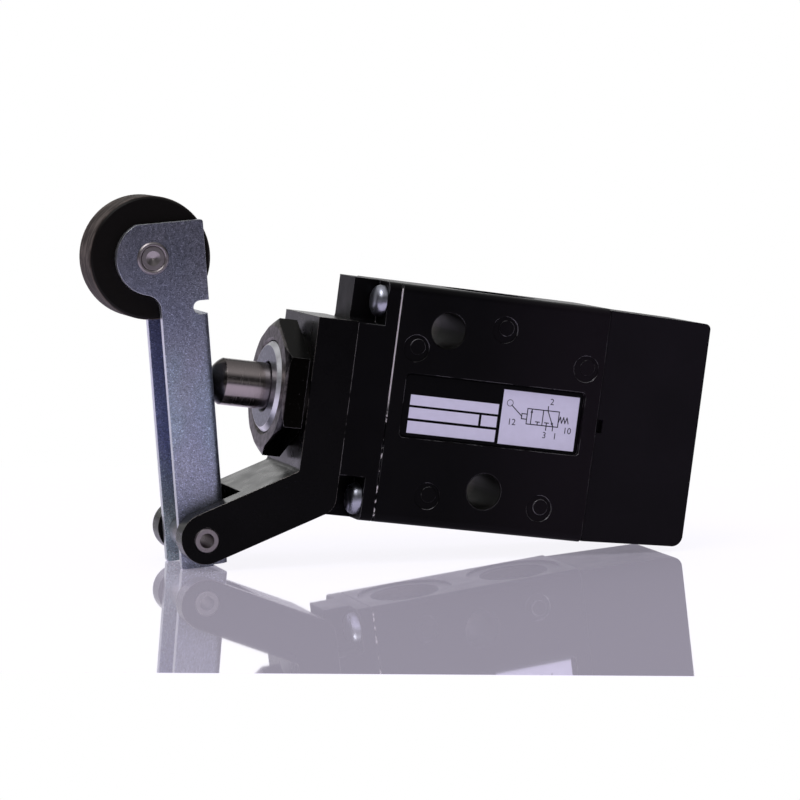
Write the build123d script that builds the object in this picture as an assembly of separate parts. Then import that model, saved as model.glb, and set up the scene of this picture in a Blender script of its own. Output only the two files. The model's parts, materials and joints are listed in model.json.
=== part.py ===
from build123d import *
import math
import os

# Roller lever operated, spring return 3/2 inline spool valve, millimetres.
# X runs along the spool from the roller end to the end cap, Z is up, and the
# label face looks along -Y. Shapes are drawn from the point where the spool
# axis crosses the joint of front cover and valve body. The exported parts are
# moved so that the middle of the upper mounting hole is their origin.

# SAME is how closely an edge must match to be picked for a fillet or chamfer,
# and PAST is how far a cutter runs beyond the face that it opens.
SAME = 0.01
PAST = 1.0

# ---------------------------------------------------------------- valve body
BODY_LENGTH = 43.2
BODY_DEPTH = 22.0
BODY_HEIGHT = 46.0
EDGE_RADIUS = 1.6
JOINT_CHAMFER = 0.2
BORE_R = 8.0

PORT_PITCH = 11.4
PORT_X = [BODY_LENGTH / 2 + n * PORT_PITCH for n in (-1, 0, 1)]
PORT_SIDE = [-1, 1, -1]
PORT_R = 11.445 / 2
PORT_DEPTH = 11.5
PORT_MOUTH_R = 6.9
PORT_SEAT_R = 9.3
PORT_SEAT_DEPTH = 0.4
PORT_DRILL_R = 4.0

MOUNT_HOLE_R = 3.4
MOUNT_HOLE_Z = 15.0
MOUNT_HOLES = [(PORT_X[0], MOUNT_HOLE_Z), (PORT_X[1], -MOUNT_HOLE_Z)]

MARKS = [(4.2, 11.0), (21.7, 16.5), (39.4, 10.8), (10.2, -17.0), (33.4, -17.2)]
MARK_R = 2.6
MARK_BUTTON_R = 1.5
MARK_SHIFT = 0.3
MARK_DEPTH = 0.25

LABEL_X0 = 2.9
LABEL_X1 = 40.1
LABEL_Z0 = -6.8
LABEL_Z1 = 5.65
LABEL_CORNER = 0.9
LABEL_RECESS = 0.35
LABEL_SHEET = 0.2
LABEL_GAP = 0.25

# --------------------------------------------------------------- front cover
HEAD_LENGTH = 7.9
FLANGE = 2.7
NOTCH_HEIGHT = 8.4
NOTCH_DEPTH = 6.3
NOTCH_CORNER = 1.0
COVER_SCREW_Y = 7.85
COVER_SCREW_Z = 19.1
SCREW_R = 1.45
SCREW_CLEAR_R = 1.6
SCREW_HEAD_R = 3.05
SCREW_HEAD_HEIGHT = 2.3
SCREW_REACH = 6.5
SCREW_HOLE_END = 0.5
SCREW_CROWN = 0.65
CROSS_DEPTH = 1.2
CROSS_REACH = 1.7
CROSS_HALF = 0.35

# ------------------------------------------------- boss, nut, washer, bracket
BOSS_R = 8.95
BOSS_FLANGE_R = 10.6
BOSS_FLANGE = 3.5
BOSS_BACK = -0.3
BOSS_FRONT = -21.7
BOSS_MOUTH_R = 4.8
BOSS_MOUTH_CHAMFER = 0.3
BOSS_LIP = 2.2
BOSS_CHAMFER = 1.0
BUSH_R = 6.2
BUSH_SET_BACK = 4.5
WIPER_GAP = 0.05
WIPER_LIP = 0.4
WIPER_TAPER_END = 1.1
WIPER_LENGTH = 2.2
WIPER_RELIEF = 0.7
THREAD_FIT = 0.02
BRACKET_PLATE = 8.0
BRACKET_TOP = 14.8
WASHER_R = 10.9
WASHER_THICKNESS = 0.9
NUT_FLATS = 23.0
NUT_THICKNESS = 4.4
NUT_CHAMFER_RISE = 0.9
NUT_RIM_CHAMFER = 0.4

PIVOT_X = -32.2
PIVOT_Z = -29.6
ARM_ANGLE = 28.7
ARM_WIDTH = 9.7
ARM_OFFSET = 0.35
ARM_HEEL_R = 3.4
ARM_KNEE_R = 0.8
FORK_SLOT = 13.4
FORK_SLOT_REACH = 10.3
PIN_R = 2.4
PIN_BORE_R = 1.4
PIN_CHAMFER = 0.2
RUNNING_FIT = 0.05

# --------------------------------------------------------------------- lever
LEVER_LEAN = 12.1
SHEET = 1.5
LEVER_WIDTH = 12.8
WEB_FACE = 5.2
FREE_EDGE = 4.1
FOOT = 5.7
WEB_FOOT = 5.4
BEND_RELIEF = 3.1
BEND_R = 1.9
WEB_TOP = 42.3
RELIEF_HEIGHT = 2.6
AXLE_UP = 53.6
AXLE_OUT = 4.95
EYE_R = 7.0
EYE_FILLET = 3.0
SHEET_CORNER = 0.5
LEVER_TOP = 60.1
SPACER_R = 3.25
SPACER_PLAY = 0.1
AXLE_R = 2.5
AXLE_FIT = 0.01
AXLE_HEAD_R = 3.1
AXLE_HEAD = 0.35
AXLE_GROOVE = 0.3
AXLE_DIMPLE_R = 1.4
AXLE_DIMPLE = 0.5
ROLLER_R = 11.65
ROLLER_WIDTH = 9.4
ROLLER_CHAMFER = 0.5

# ------------------------------------------------------------------ operator
PLUNGER_R = 4.5
DOME_R = 5.2
TIP_GAP = 0.08
COLLAR_R = 6.6
COLLAR = 1.8
COLLAR_X = -5.4
COLLAR_GAP = 0.3
COLLAR_CLEARANCE = 0.1
SPOOL_FRONT = -0.6
SPOOL_REAR = 46.2
WAIST_R = 2.9
WAIST_X0 = 13.5
WAIST_X1 = 25.0
WAIST_RAMP = 0.8

# ------------------------------------------------------------- bore cartridge
CAGE_LENGTH = 9.4
CAGE_INNER_R = 5.4
CAGE_WINDOW = 4.2
SEAL_LENGTH = PORT_PITCH - CAGE_LENGTH
SEAL_WAIST_R = 5.1
CARTRIDGE_FIT = 0.02
CARTRIDGE_GAP = 0.05
RETAINER_GAP = 0.1
RETAINER_FLATS = 12.2
RETAINER_SOCKET = 1.4

# ------------------------------------------------------------------- end cap
CAP_LENGTH = 21.4
CAP_STEP = 0.3
CAP_DRAFT_TOP = 0.9
CAP_DRAFT_BOTTOM = 2.1
CAP_DRAFT_SIDE = 0.9
CAP_WALL = 2.0
CAP_END_RADIUS = 1.1
CAP_HEEL_RADIUS = 2.2
CAP_SIDE_RADIUS = 1.4
CAP_RIB = 1.6
CAP_TUBE_R = 7.4
CAP_JOINT_EDGE = 0.5
LATCH_HEIGHT = 2.6
LATCH_WIDTH = 1.2
LATCH_DEPTH = 1.6
SPRING_R = 5.3
SPRING_WIRE = 0.9
SPRING_TURNS = 4.5
SEAT_R = 6.4
SEAT_THICKNESS = 1.6
SEAT_PILOT_R = 4.2
SEAT_PILOT = 2.4
SEAT_CHAMFER = 0.5
SPRING_END_GAP = 0.6

# ------------------------------------------------------------ derived values
HALF_DEPTH = BODY_DEPTH / 2
HALF_HEIGHT = BODY_HEIGHT / 2
BRACKET_FRONT = -HEAD_LENGTH - BRACKET_PLATE
NUT_BACK = BRACKET_FRONT - WASHER_THICKNESS
NUT_FRONT = NUT_BACK - NUT_THICKNESS
CAP_END = BODY_LENGTH + CAP_LENGTH
CAP_FLOOR = CAP_END - CAP_WALL
SPRING_START = SPOOL_REAR + SEAT_THICKNESS
CHANNEL = LEVER_WIDTH - 2 * SHEET
LEAN = math.radians(LEVER_LEAN)
TIP_X = (
    PIVOT_X
    + (WEB_FACE + TIP_GAP + DOME_R + PIVOT_Z * math.sin(LEAN)) / math.cos(LEAN)
    - DOME_R
)


def along_x(x0, x1, radius, y=0.0, z=0.0):
    """A round bar from x0 to x1 parallel to the spool axis."""
    bar = Cylinder(radius, abs(x1 - x0), rotation=(0, 90, 0))
    return Pos((x0 + x1) / 2, y, z) * bar


def along_y(y0, y1, radius, x=0.0, z=0.0):
    """A round bar from y0 to y1 across the valve."""
    bar = Cylinder(radius, abs(y1 - y0), rotation=(90, 0, 0))
    return Pos(x, (y0 + y1) / 2, z) * bar


def block(x0, x1, y0, y1, z0, z1):
    """A plain block between two corners."""
    return Pos((x0 + x1) / 2, (y0 + y1) / 2, (z0 + z1) / 2) * Box(
        x1 - x0, y1 - y0, z1 - z0
    )


def turned(points):
    """Turn a closed outline of (x, radius) points about the spool axis."""
    outline = Plane.XY * Polyline(*points, close=True)
    return revolve(make_face(outline), Axis.X, 360)


def rounded_bar(x0, x1, depth, height, radius):
    """A bar along X with rounded long edges."""
    outline = Plane.YZ.offset(x0) * RectangleRounded(depth, height, radius)
    return extrude(outline, x1 - x0)


def ring(x0, x1, inner, outer):
    """A plain ring about the spool axis."""
    return turned([(x0, inner), (x0, outer), (x1, outer), (x1, inner)])


# ---------------------------------------------------------------- valve body
def port_cutter(x, side):
    """Tapped port with its chamfered mouth, sealing seat and drilling."""
    mouth = PORT_MOUTH_R - PORT_R
    floor = HALF_HEIGHT - PORT_SEAT_DEPTH
    outline = Polyline(
        (0, 0),
        (PORT_DRILL_R, 0),
        (PORT_DRILL_R, HALF_HEIGHT - PORT_DEPTH),
        (PORT_R, HALF_HEIGHT - PORT_DEPTH),
        (PORT_R, floor - mouth),
        (PORT_MOUTH_R, floor),
        (PORT_SEAT_R, floor),
        (PORT_SEAT_R, HALF_HEIGHT + PAST),
        (0, HALF_HEIGHT + PAST),
        close=True,
    )
    tool = revolve(make_face(Plane.XZ * outline), Axis.Z, 360)
    if side < 0:
        tool = Rot(180, 0, 0) * tool
    return Pos(x, 0, 0) * tool


def moulding_mark(x, z):
    """Round tool mark: a shallow pocket with a plain button off its middle."""
    face = -HALF_DEPTH
    pocket = along_y(face - PAST, face + MARK_DEPTH, MARK_R, x, z)
    return pocket - along_y(
        face + MARK_DEPTH / 3, face + PAST, MARK_BUTTON_R, x + MARK_SHIFT, z + MARK_SHIFT)


def label_outline(grow):
    """Rounded rectangle of the label recess, grown or shrunk all round."""
    width = LABEL_X1 - LABEL_X0 + 2 * grow
    height = LABEL_Z1 - LABEL_Z0 + 2 * grow
    middle = Pos((LABEL_X0 + LABEL_X1) / 2, 0, (LABEL_Z0 + LABEL_Z1) / 2)
    return middle * Plane.XZ * RectangleRounded(width, height, LABEL_CORNER)


def build_valve_body():
    body = rounded_bar(0, BODY_LENGTH, BODY_DEPTH, BODY_HEIGHT, EDGE_RADIUS)
    ends = body.edges().filter_by_position(Axis.X, 0, 0)
    body = chamfer(ends + body.edges().filter_by_position(
        Axis.X, BODY_LENGTH, BODY_LENGTH), JOINT_CHAMFER)
    body -= along_x(-PAST, BODY_LENGTH + PAST, BORE_R)
    for x, side in zip(PORT_X, PORT_SIDE):
        body -= port_cutter(x, side)
    for x, z in MOUNT_HOLES:
        body -= along_y(-HALF_DEPTH - PAST, HALF_DEPTH + PAST, MOUNT_HOLE_R, x, z)
    rims = [
        edge
        for edge in body.edges().filter_by(GeomType.CIRCLE)
        if abs(edge.radius - MOUNT_HOLE_R) < SAME
    ]
    body = chamfer(rims, JOINT_CHAMFER)
    for x, z in MARKS:
        body -= moulding_mark(x, z)
    recess = label_outline(0)
    body -= Pos(0, -HALF_DEPTH + LABEL_RECESS, 0) * extrude(recess, PAST)
    for y in (-COVER_SCREW_Y, COVER_SCREW_Y):
        for z in (-COVER_SCREW_Z, COVER_SCREW_Z):
            body -= along_x(-PAST, SCREW_REACH + SCREW_HOLE_END, SCREW_R, y, z)
    return body


def build_label_plate():
    sheet = label_outline(-LABEL_GAP)
    return Pos(0, -HALF_DEPTH + LABEL_RECESS, 0) * extrude(sheet, LABEL_SHEET)


# --------------------------------------------------------------- front cover
def build_head_housing():
    head = rounded_bar(-HEAD_LENGTH, 0, BODY_DEPTH, BODY_HEIGHT, EDGE_RADIUS)
    head = chamfer(head.edges().filter_by_position(Axis.X, 0, 0), JOINT_CHAMFER)
    notch = block(
        -HEAD_LENGTH - PAST,
        -FLANGE,
        HALF_DEPTH - NOTCH_DEPTH,
        HALF_DEPTH + PAST,
        HALF_HEIGHT - NOTCH_HEIGHT,
        HALF_HEIGHT + PAST,
    )
    inner = notch.edges().filter_by(Axis.X).sort_by_distance((0, 0, 0))[0]
    notch = fillet(inner, NOTCH_CORNER)
    notch += mirror(notch, Plane.XY)
    head -= notch
    head -= mirror(notch, Plane.XZ)
    head -= along_x(-HEAD_LENGTH - PAST, PAST, BOSS_R + THREAD_FIT)
    head -= along_x(-BOSS_FLANGE, PAST, BOSS_FLANGE_R + THREAD_FIT)
    for y in (-COVER_SCREW_Y, COVER_SCREW_Y):
        for z in (-COVER_SCREW_Z, COVER_SCREW_Z):
            head -= along_x(-FLANGE - PAST, PAST, SCREW_CLEAR_R, y, z)
    return head


def build_head_screws():
    """Four pan head screws with cross recesses, driven through the flange."""
    face = -FLANGE
    crown = face - SCREW_HEAD_HEIGHT
    outline = Polyline(
        (face, 0),
        (face, SCREW_HEAD_R),
        (face - SCREW_HEAD_HEIGHT / 2, SCREW_HEAD_R),
        (crown, SCREW_HEAD_R * SCREW_CROWN),
        (crown, 0),
        close=True,
    )
    head = revolve(make_face(Plane.XY * outline), Axis.X, 360)
    slot = block(
        crown - PAST, crown + CROSS_DEPTH, -CROSS_REACH, CROSS_REACH, -CROSS_HALF, CROSS_HALF)
    head -= slot + Rot(90, 0, 0) * slot
    screw = head + along_x(face, SCREW_REACH, SCREW_R - THREAD_FIT)
    places = [
        Pos(0, y, z)
        for y in (-COVER_SCREW_Y, COVER_SCREW_Y)
        for z in (-COVER_SCREW_Z, COVER_SCREW_Z)
    ]
    return Part() + [place * screw for place in places]


def build_threaded_boss():
    """Flanged bush whose outer end carries the panel nut."""
    neck = COLLAR_X - COLLAR - COLLAR_CLEARANCE
    return turned([
        (BOSS_BACK, COLLAR_R + COLLAR_GAP),
        (BOSS_BACK, BOSS_FLANGE_R),
        (-BOSS_FLANGE, BOSS_FLANGE_R),
        (-BOSS_FLANGE, BOSS_R),
        (BOSS_FRONT + BOSS_CHAMFER, BOSS_R),
        (BOSS_FRONT, BOSS_R - BOSS_CHAMFER),
        (BOSS_FRONT, BOSS_MOUTH_R + BOSS_MOUTH_CHAMFER),
        (BOSS_FRONT + BOSS_MOUTH_CHAMFER, BOSS_MOUTH_R),
        (BOSS_FRONT + BOSS_LIP, BOSS_MOUTH_R),
        (BOSS_FRONT + BOSS_LIP, BUSH_R),
        (neck, BUSH_R),
        (neck, COLLAR_R + COLLAR_GAP),
    ])


def build_plunger_wiper():
    """Lipped wiper ring behind the mouth of the boss."""
    front = BOSS_FRONT + BOSS_LIP + WIPER_GAP
    return turned([
        (front, PLUNGER_R + RUNNING_FIT),
        (front + WIPER_LIP, PLUNGER_R + RUNNING_FIT),
        (front + WIPER_TAPER_END, PLUNGER_R + WIPER_RELIEF),
        (front + WIPER_LENGTH, PLUNGER_R + WIPER_RELIEF),
        (front + WIPER_LENGTH, BUSH_R - THREAD_FIT),
        (front, BUSH_R - THREAD_FIT),
    ])


def build_plunger_bush():
    front = BOSS_FRONT + BUSH_SET_BACK
    back = COLLAR_X - COLLAR - COLLAR_CLEARANCE - WIPER_GAP
    return ring(front, back, PLUNGER_R + RUNNING_FIT, BUSH_R - THREAD_FIT)


def build_mounting_bracket():
    """Solid bracket: a plate on the cover and a forked arm down to the pivot."""
    angle = math.radians(ARM_ANGLE)
    run = (-math.cos(angle), -math.sin(angle))
    up = (-math.sin(angle), math.cos(angle))
    upper = ARM_OFFSET + ARM_WIDTH / 2
    lower = ARM_OFFSET - ARM_WIDTH / 2

    def on_arm(along, across):
        return (
            PIVOT_X - run[0] * along + up[0] * across,
            PIVOT_Z - run[1] * along + up[1] * across,
        )

    def meet(x, across):
        """Point of the arm's upper or lower line at a given x."""
        start = on_arm(0, across)
        return (x, start[1] + (x - start[0]) * run[1] / run[0])

    knee = meet(BRACKET_FRONT, upper)
    heel = meet(-HEAD_LENGTH, lower)
    upper_tip = on_arm(0, upper)
    lower_tip = on_arm(0, lower)
    tip = on_arm(-ARM_WIDTH / 2, ARM_OFFSET)
    with BuildSketch(Plane.XZ) as profile:
        with BuildLine():
            Polyline(
                lower_tip, heel, (-HEAD_LENGTH, BRACKET_TOP),
                (BRACKET_FRONT, BRACKET_TOP), knee, upper_tip,
            )
            ThreePointArc(upper_tip, tip, lower_tip)
        make_face()
    bracket = extrude(profile.sketch, HALF_DEPTH, both=True)
    heel_edge = bracket.edges().filter_by(Axis.Y).sort_by_distance(
        (heel[0], 0, heel[1]))[0]
    bracket = fillet(heel_edge, ARM_HEEL_R)
    knee_edge = bracket.edges().filter_by(Axis.Y).sort_by_distance(
        (knee[0], 0, knee[1]))[0]
    bracket = fillet(knee_edge, ARM_KNEE_R)
    slot = Box(FORK_SLOT_REACH + ARM_WIDTH, FORK_SLOT, 2 * ARM_WIDTH)
    middle = (FORK_SLOT_REACH - ARM_WIDTH) / 2
    slot = Pos(middle, 0, 0) * slot
    bracket -= Pos(PIVOT_X, 0, PIVOT_Z) * Rot(0, -ARM_ANGLE, 0) * slot
    bracket -= along_x(BRACKET_FRONT - PAST, PAST - HEAD_LENGTH, BOSS_R + THREAD_FIT)
    bracket -= along_y(-BODY_DEPTH, BODY_DEPTH, PIN_R, PIVOT_X, PIVOT_Z)
    return bracket


def build_panel_washer():
    return ring(NUT_BACK, BRACKET_FRONT, BOSS_R + THREAD_FIT, WASHER_R)


def build_panel_nut():
    """Hexagon nut whose front face is turned to a 30 degree chamfer."""
    corner = NUT_FLATS / math.sqrt(3)
    hexagon = Plane.YZ.offset(NUT_FRONT) * RegularPolygon(
        corner, 6, rotation=30)
    nut = extrude(hexagon, NUT_THICKNESS)
    rise = NUT_CHAMFER_RISE
    run = rise * math.sqrt(3)
    nut &= turned([
        (NUT_FRONT, 0),
        (NUT_FRONT, corner - run),
        (NUT_FRONT + rise, corner),
        (NUT_BACK, corner),
        (NUT_BACK, 0),
    ])
    nut -= along_x(NUT_FRONT - PAST, NUT_BACK + PAST, BOSS_R + THREAD_FIT)
    rim = [
        edge
        for edge in nut.edges().filter_by(GeomType.CIRCLE)
        if abs(edge.radius - BOSS_R - THREAD_FIT) < SAME
    ]
    return chamfer(rim, NUT_RIM_CHAMFER)


def build_pivot_pin():
    pin = along_y(-HALF_DEPTH, HALF_DEPTH, PIN_R - THREAD_FIT / 2)
    pin = chamfer(pin.edges(), PIN_CHAMFER)
    pin -= along_y(-HALF_DEPTH, HALF_DEPTH, PIN_BORE_R)
    return Pos(PIVOT_X, 0, PIVOT_Z) * pin


# --------------------------------------------------------------------- lever
def on_lever(shape):
    """Place a shape drawn upright about the pivot on the leaning lever."""
    return Pos(PIVOT_X, 0, PIVOT_Z) * Rot(0, -LEVER_LEAN, 0) * shape


def build_lever():
    """Channel of folded sheet with an eye in each cheek for the roller."""
    eye_top = LEVER_TOP - AXLE_UP
    eye_reach = math.sqrt(EYE_R ** 2 - eye_top ** 2)
    drop = math.sqrt(EYE_R ** 2 - (AXLE_OUT - FREE_EDGE) ** 2)
    with BuildSketch(Plane.XZ) as cheek:
        with BuildLine():
            Polyline(
                (-FREE_EDGE, AXLE_UP - drop),
                (-FREE_EDGE, -FOOT),
                (WEB_FACE - BEND_RELIEF, -FOOT),
                (WEB_FACE - BEND_RELIEF, -WEB_FOOT),
                (WEB_FACE, -WEB_FOOT),
                (WEB_FACE, LEVER_TOP),
                (-AXLE_OUT - eye_reach, LEVER_TOP),
            )
            ThreePointArc(
                (-AXLE_OUT - eye_reach, LEVER_TOP),
                (-AXLE_OUT - EYE_R, AXLE_UP),
                (-FREE_EDGE, AXLE_UP - drop),
            )
        make_face()
    lever = extrude(cheek.sketch, LEVER_WIDTH / 2, both=True)
    throat = lever.edges().filter_by(Axis.Y).sort_by_distance(
        (-FREE_EDGE, 0, AXLE_UP - drop))[0]
    lever = fillet(throat, EYE_FILLET)
    sharp = [(WEB_FACE, LEVER_TOP), (-FREE_EDGE, -FOOT)]
    for x, z in sharp:
        corner = lever.edges().filter_by(Axis.Y).sort_by_distance((x, 0, z))[0]
        lever = fillet(corner, SHEET_CORNER)
    inside = CHANNEL / 2
    far = LEVER_TOP + EYE_R
    lever -= block(-far, WEB_FACE - SHEET, -inside, inside, -far, far)
    lever -= block(-far, far, -inside, inside, WEB_TOP, far)
    relief_z = WEB_TOP + RELIEF_HEIGHT / 2
    relief_x = WEB_FACE - BEND_RELIEF + RELIEF_HEIGHT / 2
    wide = LEVER_WIDTH
    lever -= block(relief_x, far, -wide, wide, WEB_TOP, WEB_TOP + RELIEF_HEIGHT)
    lever -= along_y(-wide, wide, RELIEF_HEIGHT / 2, relief_x, relief_z)
    bends = [
        edge
        for edge in lever.edges().filter_by(Axis.Z)
        if abs(edge.center().X - WEB_FACE) < SAME
        and edge.center().Z < WEB_TOP
        and edge.length > EYE_R
    ]
    lever = fillet(bends, BEND_R)
    folds = [
        edge
        for edge in lever.edges().filter_by(Axis.Z)
        if abs(edge.center().X - WEB_FACE + SHEET) < SAME
        and edge.center().Z < WEB_TOP
        and edge.length > EYE_R
    ]
    lever = fillet(folds, BEND_R - SHEET)
    lever -= along_y(-wide, wide, PIN_R + RUNNING_FIT)
    lever -= along_y(-wide, wide, AXLE_R, -AXLE_OUT, AXLE_UP)
    return on_lever(lever)


def build_pivot_spacer():
    length = CHANNEL - SPACER_PLAY
    spacer = along_y(-length / 2, length / 2, SPACER_R)
    spacer -= along_y(-length, length, PIN_R + RUNNING_FIT)
    return on_lever(spacer)


def build_roller_axle():
    """Rivet pin: a ring rolled over each cheek round a dimpled pin end."""
    shank = AXLE_R - AXLE_FIT
    cheek = LEVER_WIDTH / 2
    end = cheek + AXLE_HEAD
    face = cheek + AXLE_HEAD / 2

    def outline(side):
        """Half of the pin's section, from its middle out to one end."""
        return [
            (shank, side * cheek),
            (AXLE_HEAD_R, side * cheek),
            (AXLE_HEAD_R - AXLE_GROOVE, side * end),
            (shank, side * end),
            (shank - AXLE_GROOVE, side * cheek),
            (shank - AXLE_GROOVE, side * face),
            (AXLE_DIMPLE_R, side * face),
            (0, side * (face - AXLE_DIMPLE)),
        ]

    section = outline(1) + outline(-1)[::-1]
    pin = revolve(make_face(Plane.XY * Polyline(*section, close=True)), Axis.Y, 360)
    return on_lever(Pos(-AXLE_OUT, 0, AXLE_UP) * pin)


def build_roller():
    """Solid wheel with flat faces and chamfered rims."""
    half = ROLLER_WIDTH / 2
    bore = AXLE_R + RUNNING_FIT
    outline = [
        (bore, -half),
        (ROLLER_R - ROLLER_CHAMFER, -half),
        (ROLLER_R, ROLLER_CHAMFER - half),
        (ROLLER_R, half - ROLLER_CHAMFER),
        (ROLLER_R - ROLLER_CHAMFER, half),
        (bore, half),
    ]
    wheel = revolve(make_face(Plane.XY * Polyline(*outline, close=True)), Axis.Y, 360)
    return on_lever(Pos(-AXLE_OUT, 0, AXLE_UP) * wheel)


# ------------------------------------------------------------------ operator
def build_plunger():
    """Domed push rod with a retaining collar behind the boss."""
    dome_half = math.asin(PLUNGER_R / DOME_R)
    centre = TIP_X + DOME_R
    middle = math.radians(90) - dome_half / 2
    shoulder = (centre - DOME_R * math.cos(dome_half), PLUNGER_R)
    crown = (
        centre - DOME_R * math.sin(middle),
        DOME_R * math.cos(middle),
    )
    with BuildSketch(Plane.XY) as profile:
        with BuildLine():
            ThreePointArc((TIP_X, 0), crown, shoulder)
            Polyline(
                shoulder,
                (COLLAR_X - COLLAR, PLUNGER_R),
                (COLLAR_X - COLLAR, COLLAR_R),
                (COLLAR_X, COLLAR_R),
                (COLLAR_X, PLUNGER_R),
                (SPOOL_FRONT, PLUNGER_R),
                (SPOOL_FRONT, 0),
                (TIP_X, 0),
            )
        make_face()
    return revolve(profile.sketch, Axis.X, 360)


def build_spool():
    """Ground spool with one waist that joins neighbouring ports."""
    return turned([
        (SPOOL_FRONT, 0),
        (SPOOL_FRONT, PLUNGER_R),
        (WAIST_X0 - WAIST_RAMP, PLUNGER_R),
        (WAIST_X0, WAIST_R),
        (WAIST_X1, WAIST_R),
        (WAIST_X1 + WAIST_RAMP, PLUNGER_R),
        (SPOOL_REAR, PLUNGER_R),
        (SPOOL_REAR, 0),
    ])


def build_spring_seat():
    back = SPRING_START
    return turned([
        (SPOOL_REAR, 0),
        (SPOOL_REAR, SEAT_R),
        (back, SEAT_R),
        (back, SEAT_PILOT_R),
        (back + SEAT_PILOT - SEAT_CHAMFER, SEAT_PILOT_R),
        (back + SEAT_PILOT, SEAT_PILOT_R - SEAT_CHAMFER),
        (back + SEAT_PILOT, 0),
    ])


def build_return_spring():
    """Compression spring of square wire between the seat and the cap's end."""
    start = SPRING_START + SPRING_WIRE * SPRING_END_GAP
    length = CAP_FLOOR - SPRING_START - 2 * SPRING_WIRE * SPRING_END_GAP
    coil = Helix(length / SPRING_TURNS, length, SPRING_R)
    section = Plane(origin=coil @ 0, z_dir=coil % 0)
    spring = sweep(section * Rectangle(SPRING_WIRE, SPRING_WIRE), path=coil, is_frenet=True)
    return Pos(start, 0, 0) * Rot(0, 90, 0) * spring


# ----------------------------------------------------------- bore cartridge
def build_seal_cages():
    """Three sleeves with four square windows each, one at each port."""
    half = CAGE_LENGTH / 2
    cages = []
    for x in PORT_X:
        cage = ring(x - half, x + half, CAGE_INNER_R, BORE_R - CARTRIDGE_FIT)
        upright = Pos(x, 0, 0) * Box(CAGE_WINDOW, CAGE_WINDOW, 3 * BORE_R)
        cage -= upright + Pos(x, 0, 0) * Box(CAGE_WINDOW, 3 * BORE_R, CAGE_WINDOW)
        cages.append(cage)
    return Part() + cages


def build_bore_seals():
    """Four lipped seals that the spool runs through."""
    outer = BORE_R - CARTRIDGE_FIT
    lip = PLUNGER_R + RUNNING_FIT
    half = SEAL_LENGTH / 2
    seals = []
    for n in range(4):
        x = PORT_X[0] + (n - 0.5) * PORT_PITCH
        seals.append(turned([
            (x - half, outer),
            (x - half, lip),
            (x, SEAL_WAIST_R),
            (x + half, lip),
            (x + half, outer),
        ]))
    return Part() + seals


def build_front_guide():
    """Guide ring that fills the bore between the cover and the first seal."""
    back = PORT_X[0] - PORT_PITCH / 2 - SEAL_LENGTH / 2
    return ring(CARTRIDGE_GAP, back, PLUNGER_R + RUNNING_FIT, BORE_R - CARTRIDGE_FIT)


def build_cartridge_retainer():
    """Screwed ring with a hexagon socket that holds the cartridge in."""
    front = PORT_X[2] + PORT_PITCH / 2 + SEAL_LENGTH / 2
    back = BODY_LENGTH - RETAINER_GAP
    retainer = ring(front, back, PLUNGER_R + RUNNING_FIT, BORE_R - CARTRIDGE_FIT)
    socket = Plane.YZ.offset(BODY_LENGTH - RETAINER_SOCKET) * RegularPolygon(
        RETAINER_FLATS / math.sqrt(3), 6)
    return retainer - extrude(socket, 2 * RETAINER_SOCKET)


# ------------------------------------------------------------------- end cap
def cap_block(inset, x_end):
    """Drafted block of the cap, shrunk all round by inset, closed at x_end."""
    length = x_end - BODY_LENGTH
    fall = length * math.tan(math.radians(CAP_DRAFT_TOP))
    rise = length * math.tan(math.radians(CAP_DRAFT_BOTTOM))
    side = length * math.tan(math.radians(CAP_DRAFT_SIDE))
    top = HALF_HEIGHT - CAP_STEP - inset
    depth = HALF_DEPTH - CAP_STEP / 2 - inset
    elevation = Polyline(
        (BODY_LENGTH, -top),
        (x_end, rise - top),
        (x_end, top - fall),
        (BODY_LENGTH, top),
        close=True,
    )
    plan = Polyline(
        (BODY_LENGTH, -depth),
        (x_end, side - depth),
        (x_end, depth - side),
        (BODY_LENGTH, depth),
        close=True,
    )
    tall = extrude(make_face(Plane.XZ * elevation), BODY_DEPTH, both=True)
    wide = extrude(make_face(Plane.XY * plan), BODY_HEIGHT, both=True)
    return tall & wide


def build_end_cap():
    """Drafted plastic cap: thin walls, a spring tube and a tie rib inside."""
    cap = cap_block(0, CAP_END)
    across = cap.edges().filter_by(Axis.Y).filter_by_position(
        Axis.X, CAP_END, CAP_END).sort_by(Axis.Z)
    cap = fillet(across[0], CAP_HEEL_RADIUS)
    across = cap.edges().filter_by(Axis.Y).filter_by_position(
        Axis.X, CAP_END, CAP_END).sort_by(Axis.Z)
    cap = fillet(across[-1], CAP_END_RADIUS)
    cheeks = (cap.faces().sort_by(Axis.Y)[0], cap.faces().sort_by(Axis.Y)[-1])
    for cheek in cheeks:
        rim = [
            edge
            for edge in cheek.edges()
            if edge.bounding_box().max.X > BODY_LENGTH + CAP_JOINT_EDGE
        ]
        cap = fillet(rim, CAP_SIDE_RADIUS)
    hollow = cap_block(CAP_WALL, CAP_FLOOR)
    half_rib = CAP_RIB / 2
    rib = block(BODY_LENGTH, CAP_END, -half_rib, half_rib, -HALF_HEIGHT, HALF_HEIGHT)
    tube = along_x(BODY_LENGTH, CAP_END, CAP_TUBE_R + CAP_RIB / 2)
    cap -= hollow - rib - tube
    cap -= along_x(BODY_LENGTH - PAST, CAP_FLOOR, CAP_TUBE_R)
    cap -= block(
        BODY_LENGTH - PAST,
        BODY_LENGTH + LATCH_WIDTH,
        -HALF_DEPTH - PAST,
        -HALF_DEPTH + LATCH_DEPTH,
        -LATCH_HEIGHT / 2,
        LATCH_HEIGHT / 2,
    )
    return cap


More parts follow.
